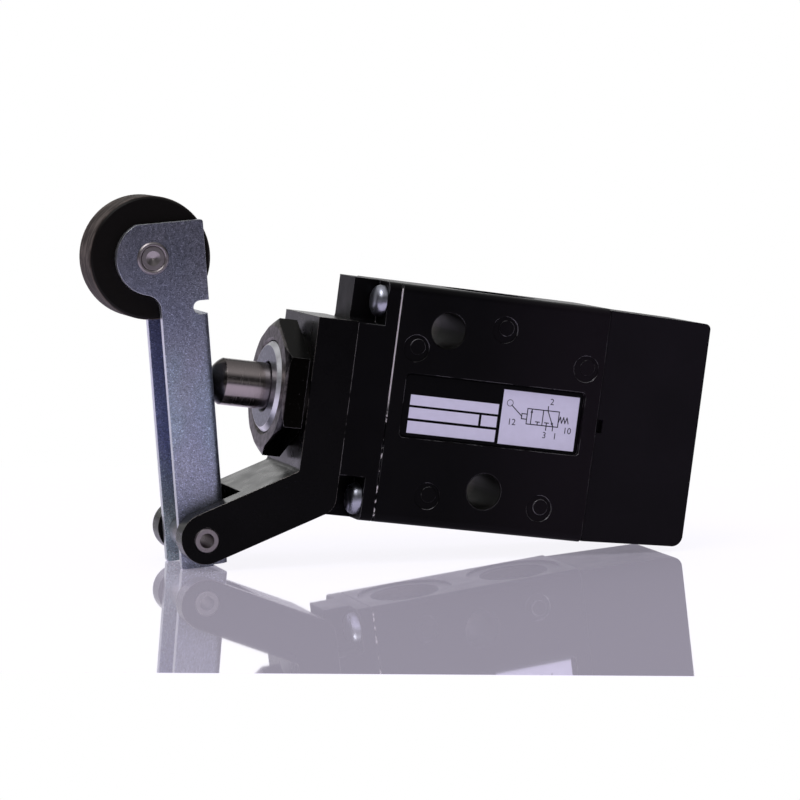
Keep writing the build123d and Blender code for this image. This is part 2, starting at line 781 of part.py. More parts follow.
PARTS = {
    "valve_body": build_valve_body,
    "label_plate": build_label_plate,
    "head_housing": build_head_housing,
    "head_screws": build_head_screws,
    "threaded_boss": build_threaded_boss,
    "plunger_wiper": build_plunger_wiper,
    "plunger_bush": build_plunger_bush,
    "mounting_bracket": build_mounting_bracket,
    "panel_washer": build_panel_washer,
    "panel_nut": build_panel_nut,
    "pivot_pin": build_pivot_pin,
    "lever": build_lever,
    "pivot_spacer": build_pivot_spacer,
    "roller_axle": build_roller_axle,
    "roller": build_roller,
    "plunger": build_plunger,
    "spool": build_spool,
    "spring_seat": build_spring_seat,
    "return_spring": build_return_spring,
    "front_guide": build_front_guide,
    "seal_cages": build_seal_cages,
    "bore_seals": build_bore_seals,
    "cartridge_retainer": build_cartridge_retainer,
    "end_cap": build_end_cap,
}

to_origin = Pos(-MOUNT_HOLES[0][0], 0, -MOUNT_HOLES[0][1])
os.makedirs("parts", exist_ok=True)
for name, build in PARTS.items():
    export_step(to_origin * build(), f"parts/{name}.step")
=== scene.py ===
import bpy
import json
import math
import bmesh
from mathutils import Matrix, Vector

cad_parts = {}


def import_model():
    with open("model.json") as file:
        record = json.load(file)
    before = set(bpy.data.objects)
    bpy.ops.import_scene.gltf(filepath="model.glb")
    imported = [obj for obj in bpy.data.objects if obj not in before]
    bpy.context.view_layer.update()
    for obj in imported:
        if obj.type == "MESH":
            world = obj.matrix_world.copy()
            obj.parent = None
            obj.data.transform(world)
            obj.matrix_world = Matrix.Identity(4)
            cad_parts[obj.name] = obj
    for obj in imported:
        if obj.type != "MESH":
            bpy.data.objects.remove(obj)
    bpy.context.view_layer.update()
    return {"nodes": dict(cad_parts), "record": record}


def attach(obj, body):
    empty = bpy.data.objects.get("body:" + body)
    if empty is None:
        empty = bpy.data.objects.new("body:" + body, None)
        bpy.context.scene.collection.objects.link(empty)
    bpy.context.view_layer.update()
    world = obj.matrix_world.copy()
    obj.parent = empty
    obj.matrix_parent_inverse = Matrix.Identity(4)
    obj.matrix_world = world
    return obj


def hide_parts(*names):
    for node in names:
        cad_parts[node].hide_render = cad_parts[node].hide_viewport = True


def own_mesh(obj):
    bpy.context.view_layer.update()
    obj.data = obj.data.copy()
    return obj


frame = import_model()
NODES = frame["nodes"]
MM = 0.001

# Measures below are in millimetres from the point where the spool axis meets
# the joint of cover and body; the frame's own origin is the upper mounting hole.
HOLE_X = 10.2
HOLE_Z = 15.0

# ------------------------------------------------------------------ camera
CAMERA_PLACE = (-207.8, -619.9, 35.9)
CAMERA_AZIMUTH = 19.03
CAMERA_DROP = 3.117
CAMERA_ROLL = 7.452
LENS_MM = 151.96
SENSOR_MM = 36.0

# The valve stands on the lever's foot and the end cap's lower corner.
STAND_TILT = 7.54
# Reach and edges of the floor are in metres.
FLOOR_REACH = 40.0
SHEET_FRONT = -0.133
SHEET_BACK = 0.16
SHEET_GLOSS = 0.72
FLOOR_GLOW = (0.87, 0.81, 1.0)
FLOOR_GLOW_LEVEL = 1.5
FLOOR_COLOUR = (0.87, 0.81, 0.99)
FLOOR_LIT = (-0.16, -0.30)

# -------------------------------------------- places and sizes on the valve
LABEL_FACE = min(vertex.co.y for vertex in NODES["label_plate"].data.vertices) / MM
# All of the print lies this far towards the cap from the places given for it.
LABEL_SHIFT = 0.2
INK_LIFT = 0.012
LABEL_FIELDS = [
    (4.35, 22.5, 0.1, 2.1),
    (4.35, 18.7, -2.45, -0.35),
    (19.2, 22.45, -2.45, -0.35),
    (4.35, 22.45, -5.3, -2.95),
    (23.15, 39.0, -5.5, 5.1),
]
INK_STROKE = 0.19
NUMBER_SIZE = 1.75
SCREW_FACE = -2.7
SCREW_Y = 7.85
SCREW_Z = 19.1
SCREW_HEAD_R = 3.04
SCREW_HEAD_HEIGHT = 2.3
SCREW_SIDES = 48
SCREW_TURNS = (20, 65, 40, 5)
# Height above the cover, half length and half width at both ends of the cross.
CROSS_SECTIONS = [
    (SCREW_HEAD_HEIGHT + 0.5, 1.8, 0.45),
    (SCREW_HEAD_HEIGHT - 1.4, 0.8, 0.28),
]
COIL_X0 = 48.4
COIL_X1 = 62.0
COIL_R = 5.3
COIL_TURNS = 4.5
COIL_STEPS = 32
WIRE_R = 0.44
WIRE_SIDES = 8
BODY_DEPTH = 22.0
MOUNT_HOLES = [(10.2, 15.0), (21.6, -15.0)]
MOUNT_HOLE_R = 3.4
PORTS = [(10.2, -1), (21.6, 1), (33.0, -1)]
PORT_R = 5.7225
THREAD_PITCH = 1.337
THREAD_FROM = 10.6
PIVOT_X = -32.2
PIVOT_Z = -29.6
LEVER_LEAN = 12.1
LEVER_CHANNEL = 9.8
ROLLER_WIDTH = 9.4
NUT_FRONT = -21.2
BOSS_EDGE_R = 7.95
PLUNGER_R = 4.5
PLUNGER_SHOULDER = -30.43
BOSS_R = 8.95

# ------------------------------------------------- values used in finishes
BODY_BLACK = (0.0020, 0.0017, 0.0023)
COAT_SHINE = (0.07, 0.5)
JOINT_LINE = 0.15
METAL_EDGE = 0.12
PLASTIC_EDGE = 0.15


def at(x, y, z):
    """Row frame place, in metres, of a point measured on the valve."""
    return Vector(((x - HOLE_X) * MM, y * MM, (z - HOLE_Z) * MM))


def camera():
    """Long lens from the roller end, looking slightly down."""
    azimuth = math.radians(CAMERA_AZIMUTH)
    drop = math.radians(CAMERA_DROP)
    roll = math.radians(CAMERA_ROLL)
    ahead = Vector((
        math.sin(azimuth) * math.cos(drop),
        math.cos(azimuth) * math.cos(drop),
        -math.sin(drop),
    ))
    right = Vector((math.cos(azimuth), -math.sin(azimuth), 0.0))
    up = right.cross(ahead)
    side = right * math.cos(roll) + up * math.sin(roll)
    top = up * math.cos(roll) - right * math.sin(roll)
    data = bpy.data.cameras.new("camera")
    data.lens = LENS_MM
    data.sensor_width = SENSOR_MM
    data.clip_start = 0.01
    data.clip_end = 100.0
    obj = bpy.data.objects.new("camera", data)
    turn = Matrix((side, top, -ahead)).transposed().to_4x4()
    obj.matrix_world = Matrix.Translation(at(*CAMERA_PLACE)) @ turn
    bpy.context.collection.objects.link(obj)
    bpy.context.scene.camera = obj


# ---------------------------------------------------------------- node help
class Graph:
    """The node tree of a new material or world, with short calls for its nodes."""

    def __init__(self, name, world=False):
        self.owner = (bpy.data.worlds if world else bpy.data.materials).new(name)
        self.owner.use_nodes = True
        self.tree = self.owner.node_tree
        self.tree.nodes.clear()
        self.output = self.node("ShaderNodeOutputWorld" if world else "ShaderNodeOutputMaterial")

    def node(self, kind, **values):
        made = self.tree.nodes.new(kind)
        for key, value in values.items():
            setattr(made, key, value)
        return made

    def put(self, socket, value):
        """Link a socket or set a number, or a colour, on it."""
        if isinstance(value, bpy.types.NodeSocket):
            self.tree.links.new(value, socket)
        elif isinstance(value, (int, float)):
            socket.default_value = value
        elif len(socket.default_value) == 4:
            socket.default_value = (*value, 1.0)
        else:
            socket.default_value = value

    def place(self):
        """Position on the object, in metres of the row frame."""
        return self.node("ShaderNodeTexCoord").outputs["Object"]

    def mapped(self, vector, scale, shift=(0.0, 0.0, 0.0)):
        made = self.node("ShaderNodeMapping")
        self.put(made.inputs["Vector"], vector)
        made.inputs["Scale"].default_value = scale
        made.inputs["Location"].default_value = shift
        return made.outputs["Vector"]

    def millimetres(self):
        """Position in millimetres, measured as this file's own places are."""
        return self.mapped(self.place(), (1000.0, 1000.0, 1000.0), (HOLE_X, 0.0, HOLE_Z))

    def split(self, vector):
        made = self.node("ShaderNodeSeparateXYZ")
        self.put(made.inputs[0], vector)
        return made.outputs

    def noise(self, vector, scale, detail=3.0, rough=0.5):
        made = self.node("ShaderNodeTexNoise")
        self.put(made.inputs["Vector"], vector)
        made.inputs["Scale"].default_value = scale
        made.inputs["Detail"].default_value = detail
        made.inputs["Roughness"].default_value = rough
        return made.outputs["Fac"]

    def cells(self, vector, scale):
        """A random value in each cell of a fine irregular grain."""
        made = self.node("ShaderNodeTexVoronoi")
        self.put(made.inputs["Vector"], vector)
        made.inputs["Scale"].default_value = scale
        split = self.node("ShaderNodeSeparateColor")
        self.put(split.inputs[0], made.outputs["Color"])
        return split.outputs

    def ramp(self, value, *stops):
        made = self.node("ShaderNodeValToRGB")
        ramp = made.color_ramp
        while len(ramp.elements) < len(stops):
            ramp.elements.new(0.5)
        for element, (place, colour) in zip(ramp.elements, stops):
            element.position = place
            level = colour if isinstance(colour, tuple) else (colour, colour, colour)
            element.color = (*level, 1.0)
        self.put(made.inputs["Fac"], value)
        return made.outputs["Color"]

    def mix(self, factor, a, b, blend="MIX"):
        made = self.node("ShaderNodeMix", data_type="RGBA", blend_type=blend)
        self.put(made.inputs["Factor"], factor)
        self.put(made.inputs[6], a)
        self.put(made.inputs[7], b)
        return made.outputs[2]

    def maths(self, operation, a, b=0.0):
        made = self.node("ShaderNodeMath", operation=operation)
        self.put(made.inputs[0], a)
        self.put(made.inputs[1], b)
        return made.outputs[0]

    def dot(self, a, b):
        made = self.node("ShaderNodeVectorMath", operation="DOT_PRODUCT")
        self.put(made.inputs[0], a)
        self.put(made.inputs[1], b)
        return made.outputs["Value"]

    def step(self, value, low, high, smooth=True):
        """0 below low and 1 above high; low may be the larger."""
        made = self.node("ShaderNodeMapRange")
        made.interpolation_type = "SMOOTHSTEP" if smooth else "LINEAR"
        made.inputs["From Min"].default_value = low
        made.inputs["From Max"].default_value = high
        self.put(made.inputs["Value"], value)
        return made.outputs["Result"]

    def distance(self, u, v, centre):
        """Distance from an axis through centre, in the plane of u and v."""
        du = self.maths("SUBTRACT", u, centre[0])
        dv = self.maths("SUBTRACT", v, centre[1])
        squares = self.maths("ADD", self.maths("MULTIPLY", du, du), self.maths("MULTIPLY", dv, dv))
        return self.maths("SQRT", squares)

    def edges(self, radius_mm, low=0.02, high=0.2):
        """1 near an outer or inner edge of the solid, 0 on its open faces."""
        bevel = self.node("ShaderNodeBevel", samples=6)
        bevel.inputs["Radius"].default_value = radius_mm * MM
        normal = self.node("ShaderNodeNewGeometry").outputs["Normal"]
        bend = self.maths("SUBTRACT", 1.0, self.dot(bevel.outputs[0], normal))
        return self.step(bend, low, high)

    def bump(self, height, distance_mm, strength=1.0, under=None):
        made = self.node("ShaderNodeBump")
        made.inputs["Strength"].default_value = strength
        made.inputs["Distance"].default_value = distance_mm * MM
        self.put(made.inputs["Height"], height)
        if under is not None:
            self.put(made.inputs["Normal"], under)
        return made.outputs["Normal"]

    def rounded(self, radius_mm):
        """Normals that round off the solid's sharp edges."""
        bevel = self.node("ShaderNodeBevel", samples=6)
        bevel.inputs["Radius"].default_value = radius_mm * MM
        return bevel.outputs[0]

    def finish(self, colour, rough, metal=0.0, normal=None, specular=0.5):
        made = self.node("ShaderNodeBsdfPrincipled")
        self.put(made.inputs["Base Color"], colour)
        self.put(made.inputs["Roughness"], rough)
        self.put(made.inputs["Metallic"], metal)
        self.put(made.inputs["Specular IOR Level"], specular)
        if normal is not None:
            self.put(made.inputs["Normal"], normal)
        self.put(self.output.inputs["Surface"], made.outputs[0])
        return self.owner


def tint(colour, factor):
    return tuple(factor * c for c in colour)


# ------------------------------------------------------------------ materials
def coating(g, base, rough):
    """Colour, roughness and normal of a satin black coat over fine grain."""
    place = g.place()
    cloud = g.noise(place, 90.0, 4.0)
    colour = g.ramp(cloud, (0.3, tint(base, 0.8)), (0.75, tint(base, 1.3)))
    roughness = g.ramp(g.noise(place, 260.0, 5.0, 0.6), (0.3, rough - 0.05), (0.7, rough + 0.07))
    normal = g.bump(g.noise(place, 2400.0, 2.0), 0.006, 1.0, g.rounded(0.22))
    return colour, roughness, normal


def grazing_gloss(g, low, high):
    """Gloss that is weak seen square on and strong seen at a slant."""
    facing = g.node("ShaderNodeLayerWeight").outputs["Facing"]
    return g.ramp(facing, (0.35, low), (0.80, high))


def worn(g, colour, amount, bare=(0.30, 0.29, 0.31)):
    """Edges rubbed through in patches to the metal under the coat."""
    patches = g.step(g.noise(g.place(), 170.0, 4.0, 0.65), 0.62 - amount, 0.70 - amount)
    mask = g.maths("MULTIPLY", g.edges(0.16), patches)
    return g.mix(mask, colour, bare), mask


def joint_wear_and_highlight(g, colour, mask):
    """Bright broken line where the label side meets along the cover joint, partly rubbed paint and partly a
    painted highlight of the joint edge.
    """
    x, y, z = g.split(g.millimetres())[:3]
    line = g.step(g.maths("ABSOLUTE", x), JOINT_LINE, JOINT_LINE - 0.04)
    front = g.step(y, 0.3 - BODY_DEPTH / 2, 0.2 - BODY_DEPTH / 2)
    upper = g.step(g.noise(g.place(), 420.0, 3.0, 0.6), 0.30, 0.36)
    lower = g.step(g.noise(g.place(), 900.0, 3.0, 0.6), 0.57, 0.62)
    broken = g.mix(g.step(z, -2.0, 2.0), lower, upper)
    line = g.maths("MULTIPLY", g.maths("MULTIPLY", line, front), broken)
    # The joint line is lightened to near white, as rubbed paint and as a painted highlight.
    return g.mix(line, colour, (0.95, 0.90, 0.92)), g.maths("MAXIMUM", mask, line)


def body_coat():
    """Black body: bare hole walls and threads in its ports, both darkened by painted shade, and rubbed
    edges.
    """
    g = Graph("body_coat")
    x, y, z = g.split(g.millimetres())[:3]
    colour, rough, normal = coating(g, BODY_BLACK, 0.38)
    far_end = g.step(x, 12.0, 40.0)
    colour = g.mix(far_end, colour, (0.0058, 0.0040, 0.0062))
    colour, mask = worn(g, colour, 0.14)
    colour, mask = joint_wear_and_highlight(g, colour, mask)
    bare = 0.0
    for centre in MOUNT_HOLES:
        wall = g.step(g.distance(x, z, centre), MOUNT_HOLE_R + 0.14, MOUNT_HOLE_R + 0.04)
        bare = g.maths("MAXIMUM", bare, wall)
    thread = 0.0
    for centre, side in PORTS:
        near = g.step(g.distance(x, y, (centre, 0.0)), PORT_R + 1.1, PORT_R + 1.0)
        outside = g.step(g.maths("MULTIPLY", z, side), THREAD_FROM, THREAD_FROM + 0.4)
        thread = g.maths("MAXIMUM", thread, g.maths("MULTIPLY", near, outside))
    bare = g.maths("MAXIMUM", bare, thread)
    scratch = g.noise(g.mapped(g.place(), (1.0, 0.1, 1.0)), 1500.0, 3.0)
    metal = g.ramp(scratch, (0.3, (0.70, 0.63, 0.57)), (0.7, (1.0, 0.92, 0.86)))
    # Painted shade darkens the bare metal in the holes and port threads, most near the front face.
    depth = g.step(y, -BODY_DEPTH / 2, BODY_DEPTH / 2 - 2.0, False)
    hole_shade = g.ramp(depth, (0.0, 0.008), (0.4, 0.011), (0.7, 0.03), (1.0, 0.20))
    metal = g.mix(1.0, metal, hole_shade, "MULTIPLY")
    turns = g.maths("PINGPONG", z, THREAD_PITCH / 2)
    normal = g.bump(g.maths("MULTIPLY", turns, thread), 0.7, 1.0, normal)
    colour = g.mix(bare, colour, metal)
    shine = g.maths("MAXIMUM", g.maths("MULTIPLY", bare, 0.4), g.maths("MULTIPLY", mask, 0.8))
    rough = g.mix(bare, rough, (0.5, 0.5, 0.5))
    gloss = g.mix(bare, grazing_gloss(g, *COAT_SHINE), (0.03, 0.03, 0.03))
    return g.finish(colour, rough, shine, normal, gloss)


def painted_black(name, base, rough, wear, joint=False, shine=COAT_SHINE):
    g = Graph(name)
    colour, roughness, normal = coating(g, base, rough)
    colour, mask = worn(g, colour, wear)
    # The cover's joint line is partly a painted highlight.
    if joint:
        colour, mask = joint_wear_and_highlight(g, colour, mask)
    return g.finish(colour, roughness, g.maths("MULTIPLY", mask, 0.8), normal, grazing_gloss(g, *shine))


def bracket_oxide():
    """Oxide black bar with rubbed edges and a few scuffs on the arm."""
    g = Graph("bracket_oxide")
    colour, rough, normal = coating(g, (0.0022, 0.0019, 0.0023), 0.28)
    colour, mask = worn(g, colour, 0.2, (0.32, 0.29, 0.28))
    place = g.mapped(g.place(), (1.0, 1.0, 2.6))
    scuff = g.step(g.noise(place, 520.0, 5.0, 0.7), 0.735, 0.76)
    colour = g.mix(scuff, colour, (0.10, 0.09, 0.09))
    return g.finish(colour, rough, g.maths("MULTIPLY", mask, 0.8), normal, grazing_gloss(g, 0.07, 1.0))


def lever_depth(g, x, z):
    """Distance in front of the pivot, square to the leaning lever."""
    lean = math.radians(LEVER_LEAN)
    dx = g.maths("MULTIPLY", g.maths("SUBTRACT", x, PIVOT_X), math.cos(lean))
    dz = g.maths("MULTIPLY", g.maths("SUBTRACT", z, PIVOT_Z), math.sin(lean))
    return g.maths("ADD", dx, dz)


def zinc_sheet():
    """Zinc plated sheet: fine sparkle, blue to violet plating colour, painted violet reflection on the far
    cheek, painted shade towards the top, bright sheared edges with painted edge highlights.
    """
    g = Graph("zinc_sheet")
    place = g.place()
    x, y, z = g.split(g.millimetres())[:3]
    grain = g.cells(place, 6200.0)
    coarse = g.cells(g.mapped(place, (1.0, 1.0, 0.6)), 2600.0)
    cloud = g.noise(g.mapped(place, (1.0, 1.0, 0.5)), 100.0, 3.0)
    colour_with_painted_light = g.ramp(cloud, (0.3, (0.40, 0.43, 0.58)), (0.55, (0.48, 0.50, 0.63)), (0.8, (0.58, 0.57, 0.69)))
    blue = g.step(g.noise(g.mapped(place, (1.6, 1.0, 0.6)), 55.0, 2.0), 0.48, 0.70)
    colour_with_painted_light = g.mix(g.maths("MULTIPLY", blue, 0.6), colour_with_painted_light, (0.42, 0.55, 0.68))
    # Painted reflection: the far cheek's inner face is tinted violet, and paler towards its bottom.
    violet = g.step(y, LEVER_CHANNEL / 2 - 0.9, LEVER_CHANNEL / 2 - 0.1)
    colour_with_painted_light = g.mix(violet, colour_with_painted_light, (0.40, 0.43, 0.66))
    inner = g.maths("MULTIPLY", violet, g.step(z, -12.0, -28.0))
    colour_with_painted_light = g.mix(g.maths("MULTIPLY", inner, 0.8), colour_with_painted_light, (0.70, 0.84, 0.82))
    # Painted shade: the lever is darker towards its top and a little lighter below its middle.
    painted_top_shade = g.ramp(g.step(z, 24.0, -24.0, False), (0.0, 0.50), (0.45, 0.96), (0.8, 1.10), (1.0, 0.98))
    colour = g.mix(1.0, colour_with_painted_light, painted_top_shade, "MULTIPLY")
    sparkle = g.ramp(grain["Red"], (0.0, 0.60), (0.6, 1.0), (0.90, 1.15), (0.97, 1.7))
    colour = g.mix(1.0, colour, sparkle, "MULTIPLY")
    # The sheared faces are the sheet's bare cut; the brightening of all edges is a painted edge highlight.
    across = g.maths("ABSOLUTE", g.split(g.node("ShaderNodeNewGeometry").outputs["Normal"])[1])
    sheared = g.maths("MULTIPLY", g.step(across, 0.4, 0.3), g.step(lever_depth(g, x, z), 3.0, 2.6))
    edge = g.maths("MAXIMUM", g.edges(0.16, 0.01, 0.1), sheared)
    colour = g.mix(g.maths("MULTIPLY", edge, 0.7), colour, (0.90, 0.92, 0.96))
    rough = g.ramp(coarse["Red"], (0.0, 0.30), (1.0, 0.46))
    bumps = g.bump(grain["Green"], 0.010, 0.6, g.rounded(0.16))
    normal = g.bump(coarse["Green"], 0.010, 0.5, bumps)
    return g.finish(colour, rough, 1.0, normal)


def turned_metal(name, colour, rough, axis=0, marks=0.004, pitch=5200.0):
    """Turned or ground metal with fine marks that run across one axis."""
    g = Graph(name)
    place = g.place()
    stretch = [0.05, 0.05, 0.05]
    stretch[axis] = 1.0
    lines = g.noise(g.mapped(place, tuple(stretch)), pitch, 2.0, 0.7)
    cloud = g.noise(place, 240.0, 3.0)
    shade = g.ramp(cloud, (0.3, tint(colour, 0.86)), (0.7, colour))
    roughness = g.ramp(lines, (0.3, rough - 0.05), (0.7, rough + 0.08))
    return g.finish(shade, roughness, 1.0, g.bump(lines, marks, 1.0, g.rounded(METAL_EDGE)))


def plunger_steel():
    """Ground rod, with painted shade darkening its tip and along its top."""
    g = Graph("plunger_ground")
    along, _, height = g.split(g.millimetres())[:3]
    lines = g.noise(g.mapped(g.place(), (1.0, 0.05, 0.05)), 5200.0, 2.0, 0.7)
    # Painted shade: darker along the top of the rod.
    upward = g.step(height, -PLUNGER_R, PLUNGER_R, False)
    colour_with_painted_light = g.ramp(upward, (0.0, 0.9), (0.3, 1.0), (0.72, 1.0), (0.93, 0.42))
    colour = g.mix(1.0, (0.37, 0.325, 0.325), colour_with_painted_light, "MULTIPLY")
    # Painted shade: the tip is darkened.
    tip = g.step(along, PLUNGER_SHOULDER + 0.1, PLUNGER_SHOULDER - 0.1)
    colour = g.mix(tip, colour, (0.10, 0.088, 0.085))
    roughness = g.ramp(lines, (0.3, 0.15), (0.7, 0.28))
    return g.finish(colour, roughness, 1.0, g.bump(lines, 0.004, 1.0, g.rounded(0.12)))


def boss_plating():
    """Plated boss: grained face, painted highlight on the outer chamfer, thread painted dark as shade."""
    g = Graph("boss_plating")
    place = g.place()
    y, z = g.split(g.millimetres())[1:3]
    radius = g.distance(y, z, (0.0, 0.0))
    grain = g.noise(place, 2200.0, 4.0, 0.7)
    face = g.ramp(grain, (0.35, (0.17, 0.18, 0.21)), (0.62, (0.40, 0.41, 0.46)), (0.8, (0.62, 0.63, 0.68)))
    # Painted highlight on the outer chamfer.
    rim = g.step(radius, BOSS_EDGE_R - 0.15, BOSS_EDGE_R)
    colour = g.mix(rim, face, (0.92, 0.92, 0.96))
    # Painted shade: the thread is darkened.
    thread = g.step(radius, BOSS_R - 0.25, BOSS_R - 0.12)
    colour = g.mix(thread, colour, (0.03, 0.028, 0.026))
    rough = g.ramp(grain, (0.3, 0.30), (0.7, 0.44))
    return g.finish(colour, rough, 1.0, g.bump(grain, 0.008, 1.0, g.rounded(0.12)))


def nut_oxide():
    """Blackened nut: dark flats with pin-prick specks and a brighter turned face."""
    g = Graph("nut_oxide")
    place = g.place()
    front = g.step(g.split(g.millimetres())[0], NUT_FRONT + 0.7, NUT_FRONT + 0.3)
    specks = g.step(g.noise(place, 2600.0, 3.0, 0.7), 0.68, 0.72)
    flats = g.mix(specks, (0.004, 0.0036, 0.003), (0.22, 0.21, 0.21))
    face = g.ramp(g.noise(place, 700.0, 4.0, 0.65), (0.35, (0.06, 0.053, 0.05)), (0.7, (0.26, 0.235, 0.24)))
    colour = g.mix(front, flats, face)
    edge = g.edges(0.12)
    colour = g.mix(g.maths("MULTIPLY", edge, 0.6), colour, (0.55, 0.53, 0.54))
    rough = g.mix(front, (0.26, 0.26, 0.26), (0.36, 0.36, 0.36))
    return g.finish(colour, rough, 1.0, g.bump(g.noise(place, 1800.0), 0.006, 1.0, g.rounded(0.12)))


def moulded(name, base, rough, grain=0.006, specular=0.45):
    """Moulded plastic with fine spark texture and faint flow clouds."""
    g = Graph(name)
    place = g.place()
    colour = g.ramp(g.noise(place, 60.0, 4.0), (0.3, tint(base, 0.85)), (0.75, tint(base, 1.25)))
    roughness = g.ramp(g.noise(place, 420.0, 4.0), (0.3, rough - 0.05), (0.7, rough + 0.06))
    normal = g.bump(g.noise(place, 2400.0, 3.0, 0.6), grain, 1.0, g.rounded(PLASTIC_EDGE))
    return g.finish(colour, roughness, 0.0, normal, grazing_gloss(g, specular / 3, specular))


def roller_nylon():
    """Black roller: smooth faces, rim dulled and marked by running."""
    g = Graph("roller_nylon")
    place = g.place()
    across = g.mapped(place, (0.25, 1.0, 0.25))
    rim_marks = g.noise(across, 900.0, 4.0, 0.65)
    edge = g.step(g.split(g.millimetres())[1], 0.25 - ROLLER_WIDTH / 2, 0.5 - ROLLER_WIDTH / 2)
    colour = g.mix(edge, (0.0045, 0.0036, 0.0034), (0.036, 0.028, 0.025))
    worn_rim = g.maths("MULTIPLY", edge, g.step(rim_marks, 0.42, 0.64))
    colour = g.mix(worn_rim, colour, (0.105, 0.086, 0.078))
    rough = g.mix(edge, (0.36, 0.36, 0.36), (0.6, 0.6, 0.6))
    normal = g.bump(rim_marks, 0.01, 1.0, g.rounded(0.2))
    return g.finish(colour, rough, 0.0, normal, g.mix(edge, (0.10, 0.10, 0.10), (0.05, 0.05, 0.05)))


def printed(name, colour):
    """Flat ink on the label plate."""
    g = Graph(name)
    shade = g.ramp(g.noise(g.place(), 700.0, 3.0), (0.3, tint(colour, 0.95)), (0.7, colour))
    return g.finish(shade, 0.5, 0.0, None, 0.35)


def materials():
    return {
        "body_black": body_coat(),
        "cover_black": painted_black("cover_coat", BODY_BLACK, 0.38, 0.18, True, (0.06, 0.2)),
        "bracket_black": bracket_oxide(),
        "label_black": painted_black("label_foil", (0.0016, 0.0014, 0.0019), 0.32, -0.3),
        "cap_plastic": moulded("cap_nylon", (0.0050, 0.0037, 0.0058), 0.46, 0.008, 0.25),
        "nut_black": nut_oxide(),
        "washer_black": turned_metal("washer_oxide", (0.012, 0.011, 0.010), 0.4),
        "boss_steel": boss_plating(),
        "screw_zinc": turned_metal("screw_plating", (0.46, 0.47, 0.55), 0.30, 0, 0.006, 2600.0),
        "pin_steel": turned_metal("pin_tube", (0.36, 0.32, 0.33), 0.30, 1),
        "axle_steel": turned_metal("axle_rivet", (0.42, 0.38, 0.39), 0.32, 1, 0.006, 2600.0),
        "spacer_steel": turned_metal("spacer_tube", (0.5, 0.48, 0.5), 0.28, 1),
        "lever_zinc": zinc_sheet(),
        "roller_black": roller_nylon(),
        "plunger_steel": plunger_steel(),
        "spool_aluminium": turned_metal("spool_ground", (0.8, 0.8, 0.82), 0.25),
        "seat_plastic": moulded("seat_acetal", (0.7, 0.7, 0.67), 0.4),
        "cage_plastic": moulded("cage_nylon", (0.6, 0.57, 0.5), 0.5),
        "spring_steel": turned_metal("spring_wire", (0.4, 0.4, 0.42), 0.3),
        "bush_bronze": turned_metal("bush_bronze", (0.6, 0.42, 0.2), 0.35),
        "seal_rubber": moulded("seal_nitrile", (0.012, 0.012, 0.012), 0.55),
    }


def dress(slots):
    """Give every CAD node the material of its record slot."""
    for row in frame["record"]["subparts"]:
        obj = NODES[row["node"]]
        obj.data.materials.clear()
        obj.data.materials.append(slots[row["material_slot"]])


# --------------------------------------------------------------------- pieces
def piece(name, build, material, smooth=None):
    """A new object whose mesh the given function draws."""
    bm = bmesh.new()
    build(bm)
    mesh = bpy.data.meshes.new(name)
    bm.to_mesh(mesh)
    bm.free()
    mesh.materials.append(material)
    obj = bpy.data.objects.new(name, mesh)
    bpy.context.collection.objects.link(obj)
    if smooth is not None:
        mesh.shade_smooth()
        mesh.set_sharp_from_angle(angle=math.radians(smooth))
    return obj


def on_label(u, v, lift):
    """A point of the label, u along the valve and v up."""
    return at(u + LABEL_SHIFT, LABEL_FACE - lift, v)


def patch(bm, corners, lift):
    """One flat printed area."""
    bm.faces.new([bm.verts.new(on_label(u, v, lift)) for u, v in corners])


def stroke(bm, points, lift, width=INK_STROKE, closed=False):
    """A printed line through the points, as one quad per stretch."""
    ends = points[1:] + points[:1] if closed else points[1:]
    for (u0, v0), (u1, v1) in zip(points, ends):
        run = Vector((u1 - u0, v1 - v0)).normalized() * width / 2
        side = Vector((-run.y, run.x))
        a = Vector((u0, v0)) - run
        b = Vector((u1, v1)) + run
        patch(bm, [a - side, b - side, b + side, a + side], lift)


def arrow(bm, tail, tip, lift):
    """A flow path: a line with a small head."""
    stroke(bm, [tail, tip], lift)
    run = (Vector(tip) - Vector(tail)).normalized()
    side = Vector((-run.y, run.x))
    base = Vector(tip) - run * 0.75
    patch(bm, [Vector(tip), base - side * 0.27, base + side * 0.27], lift)


def valve_symbol(bm):
    """Standard circuit symbol: roller, two positions of a 3/2 valve, spring."""
    lift = 2 * INK_LIFT
    low, high = -1.1, 1.9
    left, middle, right = 28.5, 31.8, 35.1
    stroke(bm, [(left, low), (right, low), (right, high), (left, high)], lift, closed=True)
    stroke(bm, [(middle, low), (middle, high)], lift)
    first, second = 0.9, 2.3
    arrow(bm, (left + first, low), (left + first, high), lift)
    stroke(bm, [(left + second, low), (left + second, low + 0.6)], lift)
    stroke(bm, [(left + second - 0.4, low + 0.6), (left + second + 0.4, low + 0.6)], lift)
    arrow(bm, (middle + first, high), (middle + second, low), lift)
    stroke(bm, [(middle + first, low), (middle + first, low + 0.6)], lift)
    stroke(bm, [(middle + first - 0.4, low + 0.6), (middle + first + 0.4, low + 0.6)], lift)
    stroke(bm, [(middle + first, high), (middle + first, high + 0.8)], lift)
    stroke(bm, [(middle + first, low), (middle + first, low - 0.8)], lift)
    stroke(bm, [(middle + second, low), (middle + second, low - 0.8)], lift)
    teeth = [(right + 0.35 * n, 0.9 if n % 2 else -0.2) for n in range(7)]
    stroke(bm, teeth, lift)
    stroke(bm, [(left, 0.8), (27.4, 0.8), (27.4, -0.2), (left, -0.2)], lift)
    stroke(bm, [(27.4, 0.3), (25.1, 2.2)], lift)
    wheel = [
        (24.7 + 0.62 * math.cos(turn * math.pi / 8), 2.6 + 0.62 * math.sin(turn * math.pi / 8))
        for turn in range(16)
    ]
    stroke(bm, wheel, lift, 0.11, closed=True)


